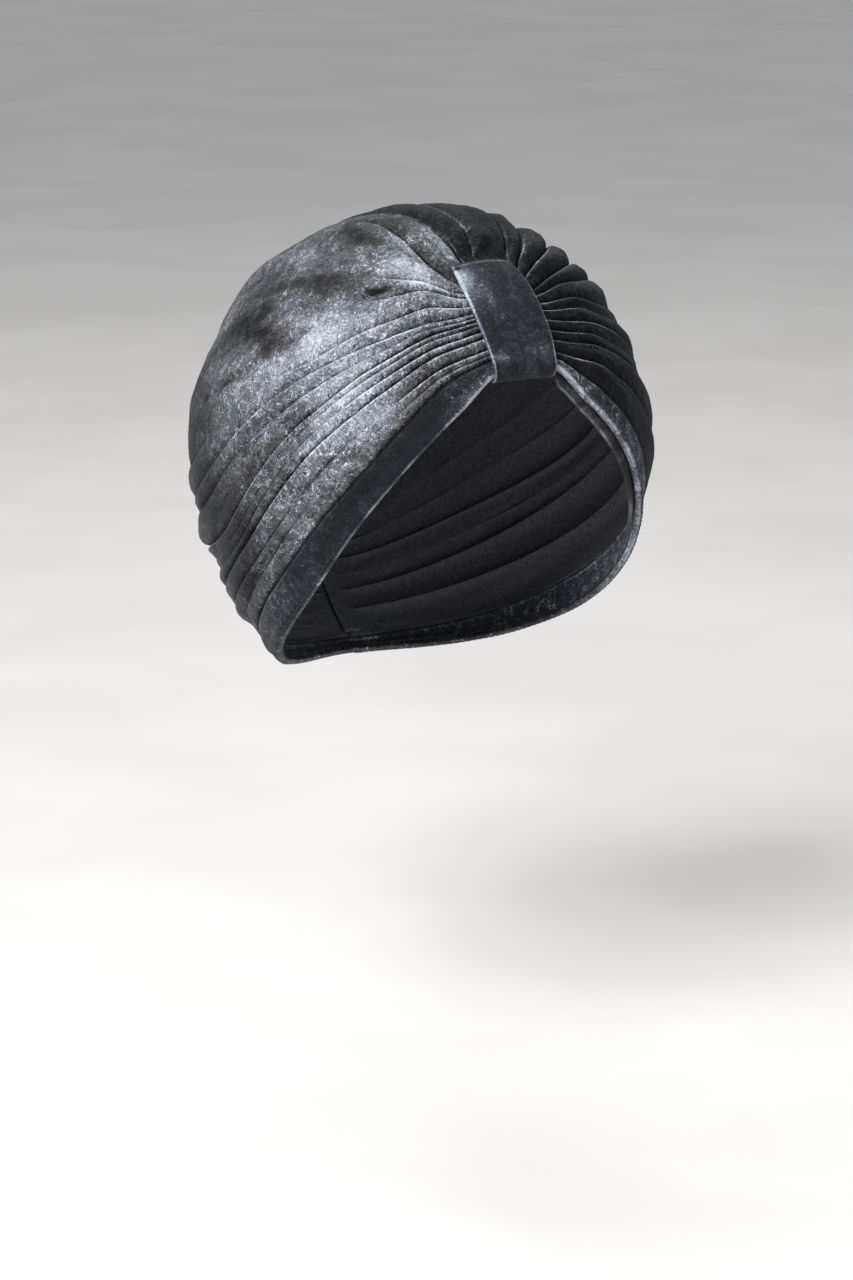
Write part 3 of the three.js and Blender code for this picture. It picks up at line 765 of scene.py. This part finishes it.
def seam_grid(form):
    """The seam allowances of both drapes, turned in and laid to one side along their seam."""
    outer, inner, _ = drape_grid(form, -1, RIGHT_CREASES, HEM_RIGHT["top"], RIGHT_RELIEF)
    middle = (outer + inner) / 2 + np.array([HALF_SEAM_GAP, 0, 0])
    path = np.concatenate([middle[form.rows // 12 :, 0], middle[-1, 1:-3]])
    outward = path + np.array([0, 0, SEAT_RISE])
    outward = outward / np.linalg.norm(outward, axis=1, keepdims=True)
    ahead = np.gradient(path, axis=0)
    aside = np.cross(ahead, outward)
    aside = aside / np.linalg.norm(aside, axis=1, keepdims=True)
    share = -np.cos(np.linspace(0, np.pi, SEAM_STRIP["columns"]))
    x = share * SEAM_STRIP["half_width"]
    deep = form.cloth_wall / 2 + SEAM_STRIP["gap"] + SEAM_STRIP["bow"] * np.cos(share)
    base = path[:, None] + aside[:, None] * (x + SEAM_STRIP["aside"])[None, :, None]
    top = base - outward[:, None] * deep[None, :, None]
    middle = top - outward[:, None] * (SEAM_STRIP["wall"] / 2)
    half = SEAM_STRIP["wall"] / 2 * edge_roundness(middle, SEAM_STRIP["wall"] / 2)
    depth = outward[:, None] * half[..., None]
    flat = np.zeros(half.shape)
    marks = {"nap": flat, "crease": flat, "lip": flat, "flank": flat}
    return middle + depth, middle - depth, marks


def add_node(tree, kind, inputs=None, **settings):
    """A node with its settings, whose inputs are fixed values or the outputs of other nodes."""
    node = tree.nodes.new(kind)
    for name, value in settings.items():
        setattr(node, name, value)
    for key, value in (inputs or {}).items():
        feed(tree, value, node.inputs[key])
    return node


def feed(tree, value, socket):
    """Give a socket a fixed value, or join it to the output of another node."""
    if isinstance(value, (int, float, str, tuple)):
        socket.default_value = value
    else:
        tree.links.new(value, socket)


def stitch_tree():
    """Nodes that lay a stitch at every pitch of a path, leaning to alternate sides."""
    tree = bpy.data.node_groups.new("stitch_row", "GeometryNodeTree")
    tree.interface.new_socket("Geometry", in_out="OUTPUT", socket_type="NodeSocketGeometry")
    wanted = {"Path": "Geometry", "Pitch": "Float", "Length": "Float", "Radius": "Float"}
    wanted.update({"Lean": "Float", "Thread": "Material"})
    for name, kind in wanted.items():
        tree.interface.new_socket(name, in_out="INPUT", socket_type="NodeSocket" + kind)
    given = add_node(tree, "NodeGroupInput").outputs

    def add(kind, output, inputs=None, **settings):
        return add_node(tree, kind, inputs, **settings).outputs[output]

    def product(value, factor):
        return add("ShaderNodeMath", 0, {0: value, 1: factor}, operation="MULTIPLY")

    curve = add("GeometryNodeMeshToCurve", "Curve", {"Mesh": given["Path"]})
    spacing = {"Curve": curve, "Length": given["Pitch"]}
    spaced = add("GeometryNodeResampleCurve", "Curve", spacing, mode="LENGTH")
    ball = {"Segments": 8, "Rings": 6, "Radius": 1.0}
    stitch = add("GeometryNodeMeshUVSphere", "Mesh", ball)
    along = add(
        "FunctionNodeAlignRotationToVector", "Rotation",
        {"Vector": add("GeometryNodeInputTangent", "Tangent")}, axis="X",
    )
    facing = add(
        "GeometryNodeInputNamedAttribute", "Attribute", {"Name": "facing"}, data_type="FLOAT_VECTOR",
    )
    upright = add(
        "FunctionNodeAlignRotationToVector", "Rotation",
        {"Rotation": along, "Vector": facing}, axis="Z", pivot_axis="X",
    )
    index = add("GeometryNodeInputIndex", "Index")
    parity = add("ShaderNodeMath", 0, {0: index, 1: 1.0}, operation="PINGPONG")
    sides = {"Value": parity, "To Min": product(given["Lean"], -1.0), "To Max": given["Lean"]}
    swing = add("ShaderNodeMapRange", 0, sides)
    lean = add("FunctionNodeEulerToRotation", "Rotation", {
        "Euler": add("ShaderNodeCombineXYZ", "Vector", {"Z": swing}),
    })
    leaning = {"Rotation": upright, "Rotate By": lean}
    turned = add("FunctionNodeRotateRotation", "Rotation", leaning, rotation_space="LOCAL")
    size = {"X": product(given["Length"], 0.5), "Y": given["Radius"], "Z": given["Radius"]}
    laid = add("GeometryNodeInstanceOnPoints", "Instances", {
        "Points": spaced, "Instance": stitch, "Rotation": turned,
        "Scale": add("ShaderNodeCombineXYZ", "Vector", size),
    })
    real = add("GeometryNodeRealizeInstances", "Geometry", {"Geometry": laid})
    threaded = {"Geometry": real, "Material": given["Thread"]}
    sewn = add("GeometryNodeSetMaterial", "Geometry", threaded)
    add_node(tree, "NodeGroupOutput", {"Geometry": sewn})
    return tree


def stitches(name, paths, stitch, lean):
    """Rows of stitches along paths, each a list of points and of the ways that the points face."""
    points, edges, facing = [], [], []
    for path, ways in paths:
        start = len(points)
        points += path.tolist()
        facing += ways.tolist()
        edges += [(start + i, start + i + 1) for i in range(len(path) - 1)]
    mesh = bpy.data.meshes.new(name + "_path")
    mesh.from_pydata(points, edges, [])
    attribute = mesh.attributes.new("facing", "FLOAT_VECTOR", "POINT")
    attribute.data.foreach_set("vector", np.array(facing, np.float32).ravel())
    guide = linked_object(name + "_path", mesh)
    tree = bpy.data.node_groups.get("stitch_row") or stitch_tree()
    modifier = guide.modifiers.new("stitches", "NODES")
    modifier.node_group = tree
    values = {
        "Pitch": stitch["pitch"], "Length": stitch["length"], "Radius": stitch["radius"],
        "Lean": lean * DEGREE, "Thread": material_named("thread"),
    }
    for item in tree.interface.items_tree:
        if item.name in values:
            modifier[item.identifier] = values[item.name]
    evaluated = guide.evaluated_get(bpy.context.evaluated_depsgraph_get())
    result = bpy.data.meshes.new_from_object(evaluated)
    if not result.polygons:
        raise RuntimeError(f"{name} has no stitches")
    result.polygons.foreach_set("use_smooth", np.ones(len(result.polygons), bool))
    piece = linked_object(name, result)
    bpy.data.objects.remove(guide)
    mark_piece(piece, None)


def facing_out(path, sign=1):
    """Unit vectors from the centre of the head through the points of a path, or back to it."""
    away = path + np.array([0, 0, SEAT_RISE])
    return sign * away / np.linalg.norm(away, axis=1, keepdims=True)


class Finish:
    """A material, with short ways to add and join its nodes."""

    def __init__(self, name):
        self.material = bpy.data.materials.new(name)
        self.material.use_nodes = True
        self.tree = self.material.node_tree
        self.shader = self.tree.nodes["Principled BSDF"]
        self.place = self.tree.nodes.new("ShaderNodeTexCoord").outputs

    def add(self, kind, output, inputs, **settings):
        return add_node(self.tree, kind, inputs, **settings).outputs[output]

    def surface(self, values):
        """Give the shader's sockets fixed values, or join them to other nodes."""
        for name, value in values.items():
            feed(self.tree, value, self.shader.inputs[name])

    def math(self, operation, *values):
        return self.add("ShaderNodeMath", 0, dict(enumerate(values)), operation=operation)

    def between(self, value, low, high, to_low=0.0, to_high=1.0):
        inputs = dict(enumerate((value, low, high, to_low, to_high)))
        return self.add("ShaderNodeMapRange", 0, inputs, interpolation_type="SMOOTHSTEP")

    def away_from(self, value, middle):
        return self.math("ABSOLUTE", self.math("SUBTRACT", value, middle))

    def mark(self, name):
        return self.add("ShaderNodeAttribute", "Fac", None, attribute_name=name)

    def noise(self, scale, detail=2.0, distortion=0.0, vector=None):
        inputs = {"Scale": scale, "Detail": detail, "Distortion": distortion}
        inputs["Vector"] = vector or self.place["Object"]
        return self.add("ShaderNodeTexNoise", "Fac", inputs)

    def stretched(self, across, along):
        inputs = {"Vector": self.place["UV"], "Scale": (across, along, 1)}
        return self.add("ShaderNodeMapping", "Vector", inputs)

    def ramp(self, value, stops):
        node = add_node(self.tree, "ShaderNodeValToRGB", {"Fac": value})
        points = node.color_ramp.elements
        while len(points) < len(stops):
            points.new(0.5)
        for point, (position, colour) in zip(points, stops):
            point.position = position
            point.color = (*colour, 1)
        return node.outputs["Color"]

    def bump(self, height, distance):
        return self.add("ShaderNodeBump", "Normal", {"Distance": distance, "Height": height})


def velvet(name, base, fuzz, mottle, lip, shades, light):
    """Crushed velvet: pile painted light or dark, partly its lie and partly painted sheen, with
    painted shade in creases and painted highlights on edges. It curls in short marks and has a faint real
    sheen.
    """
    n = Finish(name)
    form = bpy.context.scene.turban_form
    # Curled marks of crushed pile are the level lines of a warped noise.
    curl = n.between(n.away_from(n.noise(330, 1.5, 2.2), 0.5), 0.0, 0.07, 1.0, 0.0)
    broken = n.math("MULTIPLY", curl, n.between(n.noise(280, 1), 0.44, 0.56))
    shadow = n.between(n.away_from(n.noise(350, 1, 2), 0.57), 0.0, 0.05, 1.0, 0.0)
    grain = n.math("SUBTRACT", n.noise(1000, 1.5, 1.2), 0.5)
    cloud = n.math("SUBTRACT", n.noise(90, 4, 1.2), 0.5)
    ticks = n.math("SUBTRACT", n.noise(1, 1, 0.4, n.stretched(200, 900)), 0.5)
    ticks = n.math("MULTIPLY", ticks, n.mark("flank"))
    # The pile's lightness, partly its lie and partly painted sheen.
    level = n.math("ADD", n.mark("nap"), base)
    level = n.math("MULTIPLY_ADD", cloud, mottle, level)
    lively = n.between(level, 0.05, 0.45, 0.4, 1.0)
    marks = n.math("MULTIPLY_ADD", grain, 1.1 * fuzz, n.math("MULTIPLY", broken, 0.52 * fuzz))
    marks = n.math("MULTIPLY_ADD", shadow, -0.16 * fuzz, marks)
    marks = n.math("MULTIPLY_ADD", ticks, 1.2 * fuzz, marks)
    level = n.math("MULTIPLY_ADD", marks, lively, level)
    # Painted highlights along fold, hem and band edges and on loop crests.
    level = n.math("MULTIPLY_ADD", n.mark("lip"), lip, level)
    # Painted shade in the creases.
    level = n.math("MULTIPLY_ADD", n.mark("crease"), -0.4, level)
    n.surface({
        "Base Color": n.ramp(level, (*shades, (1.0, tuple(getattr(form, light))))),
        "Normal": n.bump(n.math("ADD", n.math("MULTIPLY", broken, 0.5), grain), 0.0006),
        "Roughness": 0.75,
        "Specular IOR Level": 0.12,
        "Sheen Weight": 0.1,
        "Sheen Roughness": 0.25,
        "Sheen Tint": (*form.sheen, 1),
    })
    return n.material


def backing(name):
    """The knitted back of the velvet, which shows inside the crown."""
    n = Finish(name)
    waves = {"Vector": n.stretched(1, 0.5), "Scale": 240, "Distortion": 1.5, "Detail Scale": 3}
    wales = n.add("ShaderNodeTexWave", "Fac", waves, wave_type="BANDS", bands_direction="X")
    level = n.math("MULTIPLY_ADD", wales, 0.35, n.noise(700, 3))
    shades = ((0.3, (0.022, 0.022, 0.026)), (0.9, (0.075, 0.077, 0.088)))
    n.surface({
        "Base Color": n.ramp(level, shades),
        "Normal": n.bump(level, 0.0003),
        "Roughness": 0.85,
        "Specular IOR Level": 0.2,
    })
    return n.material


def thread(name):
    """The dark thread of the hem and the seam."""
    n = Finish(name)
    shades = ((0.3, (0.016, 0.016, 0.019)), (0.7, (0.055, 0.057, 0.066)))
    n.surface({
        "Base Color": n.ramp(n.noise(1800, 2), shades),
        "Roughness": 0.55,
        "Specular IOR Level": 0.3,
    })
    return n.material


# Shades of each velvet from its darkest up. The lightest is a colour of the form.
SHEEN_LIT_SHADES = (
    (0.0, (0.005, 0.005, 0.006)),
    (0.2, (0.028, 0.026, 0.026)),
    (0.5, (0.1, 0.106, 0.12)),
    (0.8, (0.27, 0.297, 0.34)),
)
SHADED_SIDE_SHADES = (
    (0.0, (0.001, 0.001, 0.001)),
    (0.3, (0.004, 0.004, 0.005)),
    (0.6, (0.02, 0.022, 0.026)),
    (0.85, (0.13, 0.14, 0.165)),
)
NAVY_SHADES = (
    (0.0, (0.003, 0.003, 0.004)),
    (0.3, (0.012, 0.013, 0.017)),
    (0.55, (0.042, 0.046, 0.057)),
    (0.8, (0.17, 0.19, 0.225)),
)
# The right drape's silvery velvet and the left drape's dark velvet are one cloth, painted lit and painted in
# shade.
SHEEN_LIT = {"shades": SHEEN_LIT_SHADES, "light": "sheen_lit_pile"}
SHADED_SIDE = {"shades": SHADED_SIDE_SHADES, "light": "shaded_side_pile"}
NAVY = {"shades": NAVY_SHADES, "light": "navy_light"}
VELVETS = {
    "silver_velvet": {"base": 0.37, "fuzz": 1, "mottle": 0.5, "lip": 0.4, **SHEEN_LIT},
    "grey_velvet": {"base": 0.12, "fuzz": 0.6, "mottle": 0.5, "lip": 0.45, **SHEEN_LIT},
    "navy_velvet": {"base": 0.3, "fuzz": 0.5, "mottle": 0.2, "lip": 0.5, **NAVY},
    "border_velvet": {"base": 0.2, "fuzz": 0.8, "mottle": 0.3, "lip": 0.6, **NAVY},
    "dark_velvet": {"base": 0.25, "fuzz": 0.55, "mottle": 0.4, "lip": 0.7, **SHADED_SIDE},
}
PLAIN_FINISHES = {"knit_backing": backing, "thread": thread}


def material_named(name):
    """The material of that name, made when it is first wanted."""
    found = bpy.data.materials.get(name)
    if found:
        return found
    if name in PLAIN_FINISHES:
        return PLAIN_FINISHES[name](name)
    return velvet(name, **VELVETS[name])


def length_prop(name, description, millimetres):
    return bpy.props.FloatProperty(
        name=name, description=description, default=millimetres * MM, unit="LENGTH",
    )


def count_prop(name, description, default):
    return bpy.props.IntProperty(name=name, description=description, default=default)


def colour_prop(name, description, default):
    return bpy.props.FloatVectorProperty(
        name=name, description=description, default=default, subtype="COLOR",
    )


class TurbanForm(bpy.types.PropertyGroup):
    """Sizes and colours of the cloth that a user would change."""

    cloth_wall: length_prop("Cloth thickness", "Pile and backing of the velvet together", 1.8)
    gather_depth: length_prop("Gather depth", "Height of the fine gathers beside the band", 0.8)
    slack_depth: length_prop("Slack depth", "Height of the long slack waves of the cloth", 0.8)
    ripple_depth: length_prop("Ripple depth", "Height of the shorter ripples of the cloth", 0.3)
    crush_depth: length_prop("Crush depth", "Height of the crushed pile", 0.1)
    hem_wall: length_prop("Hem thickness", "Folded cloth of the hem", 2.2)
    hem_press: length_prop("Hem press", "How far the band presses the hem in", 1.1)
    facing_wall: length_prop("Facing thickness", "Turned-in layer of the hem", 1.5)
    facing_press: length_prop("Facing press", "How far the band presses the facing in", 0.6)
    band_wall: length_prop("Band thickness", "Cloth of the centre band", 1.8)
    rows: count_prop("Rows", "Rows of points from the band to the nape", 190)
    fold_steps: count_prop("Steps in a fold", "Points across the narrowest folds", 13)
    hem_rows: count_prop("Hem rows", "Rows of points along each half of the hem", 170)
    hem_columns: count_prop("Hem columns", "Points across the hem strip", 25)
    band_rows: count_prop("Band rows", "Rows of points down the front of the band", 70)
    band_columns: count_prop("Band columns", "Points across the band", 49)
    # Lightest colours of the painted lit and the painted shaded copies of the drapes' velvet.
    sheen_lit_pile: colour_prop("Silver pile", "Lightest pile of the right drape", (0.5, 0.54, 0.6))
    shaded_side_pile: colour_prop("Dark pile", "Lightest pile of the left drape", (0.3, 0.32, 0.36))
    navy_light: colour_prop("Navy pile", "Lightest pile of the band and the hem", (0.4, 0.44, 0.5))
    sheen: colour_prop("Sheen", "Colour of the pile's shine on edge", (0.72, 0.8, 0.92))


def cloth_piece(name, grids, finishes, node):
    """A wall of cloth with a finish for its outer and its inner face, marked for the frame."""
    outer, inner, marks = grids
    piece = wall_mesh(name, outer, inner, marks, [material_named(finish) for finish in finishes])
    mark_piece(piece, node)
    return piece


class OBJECT_OT_turban_drape_right(bpy.types.Operator):
    """Add the gathered half of the crown on the wearer's right"""

    bl_idname = "object.turban_drape_right"
    bl_label = "Right drape"

    def execute(self, context):
        form = context.scene.turban_form
        grids = drape_grid(form, -1, RIGHT_CREASES, HEM_RIGHT["top"], RIGHT_RELIEF)
        # The right drape takes the painted lit copy of the velvet.
        cloth = ("silver_velvet", "knit_backing")
        piece = cloth_piece("drape_right_velvet", grids, cloth, "drape_right")
        return {"FINISHED"}


class OBJECT_OT_turban_drape_left(bpy.types.Operator):
    """Add the gathered half of the crown on the wearer's left"""

    bl_idname = "object.turban_drape_left"
    bl_label = "Left drape"

    def execute(self, context):
        form = context.scene.turban_form
        grids = drape_grid(form, 1, LEFT_CREASES, HEM_LEFT["top"], LEFT_RELIEF)
        # The left drape takes the painted shaded copy of the velvet.
        cloth = ("dark_velvet", "knit_backing")
        piece = cloth_piece("drape_left_velvet", grids, cloth, "drape_left")
        return {"FINISHED"}


class OBJECT_OT_turban_hem(bpy.types.Operator):
    """Add the hem strip and its turned-in facing"""

    bl_idname = "object.turban_hem"
    bl_label = "Hem"

    def execute(self, context):
        form = context.scene.turban_form
        grids = hem_grid(form)
        hem = cloth_piece("hem_velvet", grids, ["border_velvet"] * 2, "hem_band")
        cloth = ["grey_velvet"] * 2
        facing = cloth_piece("facing_velvet", facing_grid(form), cloth, "hem_facing")
        rows = []
        for side, grid, sign in (("outer", grids[0], 1), ("inner", grids[1], -1)):
            first = int(form.rows * HEM_STITCHES_FROM[side])
            for to_edge in HEM_STITCH_ROWS:
                path = hem_row(grid, to_edge)[first:-first]
                rows.append((path, facing_out(path, sign)))
        stitches("hem_stitches", rows, STITCH, 0)
        return {"FINISHED"}


class OBJECT_OT_turban_seam(bpy.types.Operator):
    """Add the overlocked seam inside the crown"""

    bl_idname = "object.turban_seam"
    bl_label = "Seam"

    def execute(self, context):
        grids = seam_grid(context.scene.turban_form)
        cloth = ["knit_backing"] * 2
        strip = cloth_piece("seam_allowance", grids, cloth, None)
        path = grids[1][:, SEAM_STRIP["columns"] // 2]
        overlock = [(path, facing_out(path, -1))]
        stitches("seam_overlock", overlock, OVERLOCK, OVERLOCK_LEAN)
        return {"FINISHED"}


class OBJECT_OT_turban_band(bpy.types.Operator):
    """Add the centre band that gathers both halves on the forehead"""

    bl_idname = "object.turban_band"
    bl_label = "Centre band"

    def execute(self, context):
        grids = band_grid(context.scene.turban_form)
        cloth = ["navy_velvet"] * 2
        piece = cloth_piece("centre_band_velvet", grids, cloth, "centre_band")
        return {"FINISHED"}


class OBJECT_OT_turban_stage(bpy.types.Operator):
    """Add the floor, the lights and the camera"""

    bl_idname = "object.turban_stage"
    bl_label = "Stage"

    def execute(self, context):
        add_floor()
        add_light(context)
        add_camera(context)
        return {"FINISHED"}


def add_floor():
    bpy.ops.mesh.primitive_plane_add(size=FLOOR["size"], location=(0, 0, FLOOR["height"]))
    floor = bpy.context.object
    floor.name = "floor"
    n = Finish("pale_floor")
    n.surface({"Base Color": n.ramp(n.noise(6), FLOOR["shades"]), "Roughness": 0.9})
    floor.data.materials.append(n.material)


def from_angles(azimuth, rise):
    """Unit vector towards an azimuth from the front and a rise, both in degrees."""
    a, e = azimuth * DEGREE, rise * DEGREE
    return Vector((math.sin(a) * math.cos(e), -math.cos(a) * math.cos(e), math.sin(e)))


FLOOR = {
    "size": 12, "height": -0.351, "shades": ((0.4, (0.74, 0.72, 0.7)), (0.6, (0.78, 0.76, 0.74))),
}
LAMPS = (
    {"name": "key", "azimuth": -62, "rise": 38, "distance": 1.5, "size": 0.8, "power": 30},
    {"name": "fill", "azimuth": 10, "rise": 20, "distance": 2.2, "size": 1.4, "power": 8},
    {"name": "top", "azimuth": 165, "rise": 55, "distance": 1.8, "size": 1.2, "power": 12},
)


def add_light(context):
    world = bpy.data.worlds.new("studio")
    world.use_nodes = True
    background = world.node_tree.nodes["Background"].inputs
    background["Color"].default_value = (0.95, 0.97, 1, 1)
    background["Strength"].default_value = 0.45
    context.scene.world = world
    for row in LAMPS:
        lamp = bpy.data.lights.new(row["name"], "AREA")
        lamp.shape = "DISK"
        lamp.size = row["size"]
        lamp.energy = row["power"]
        light = linked_object(row["name"], lamp)
        away = from_angles(row["azimuth"], row["rise"])
        light.location = Vector((0, 0, -SEAT_RISE)) + away * row["distance"]
        light.rotation_euler = away.to_track_quat("Z", "Y").to_euler()
    context.scene.view_settings.view_transform = "Standard"


CAMERA = {"azimuth": -30, "rise": 13, "distance": 1.8, "lens": 126.56, "aside": 0.00044, "above": 0.0431}


def add_camera(context):
    """A long lens at eye level in front of the wearer's right, with the wrap high in the picture."""
    back = from_angles(CAMERA["azimuth"], CAMERA["rise"])
    right = (-back).cross(Vector((0, 0, 1))).normalized()
    up = back.cross(right)
    aim = right * CAMERA["aside"] + up * CAMERA["above"]
    data = bpy.data.cameras.new("camera")
    data.lens = CAMERA["lens"]
    camera = linked_object("camera", data)
    camera.location = Vector((0, 0, -SEAT_RISE)) + (back - aim) * CAMERA["distance"]
    camera.rotation_euler = Matrix((right, up, back)).transposed().to_euler()
    context.scene.camera = camera


class VIEW3D_PT_turban(bpy.types.Panel):
    """Panel that lists the pieces of the turban"""

    bl_label = "Turban"
    bl_idname = "VIEW3D_PT_turban"
    bl_space_type = "VIEW_3D"
    bl_region_type = "UI"
    bl_category = "Turban"

    def draw(self, context):
        for step in STEPS:
            self.layout.operator(step.bl_idname)


STEPS = (
    OBJECT_OT_turban_drape_right,
    OBJECT_OT_turban_drape_left,
    OBJECT_OT_turban_hem,
    OBJECT_OT_turban_seam,
    OBJECT_OT_turban_band,
    OBJECT_OT_turban_stage,
)
CLASSES = (TurbanForm, *STEPS, VIEW3D_PT_turban)


def register():
    for each in CLASSES:
        bpy.utils.register_class(each)
    bpy.types.Scene.turban_form = bpy.props.PointerProperty(type=TurbanForm)


def unregister():
    del bpy.types.Scene.turban_form
    for each in reversed(CLASSES):
        bpy.utils.unregister_class(each)


def main():
    """Build every piece and the stage."""
    register()
    bpy.ops.object.turban_drape_right()
    bpy.ops.object.turban_drape_left()
    bpy.ops.object.turban_hem()
    bpy.ops.object.turban_seam()
    bpy.ops.object.turban_band()
    bpy.ops.object.turban_stage()


if __name__ == "__main__":
    main()
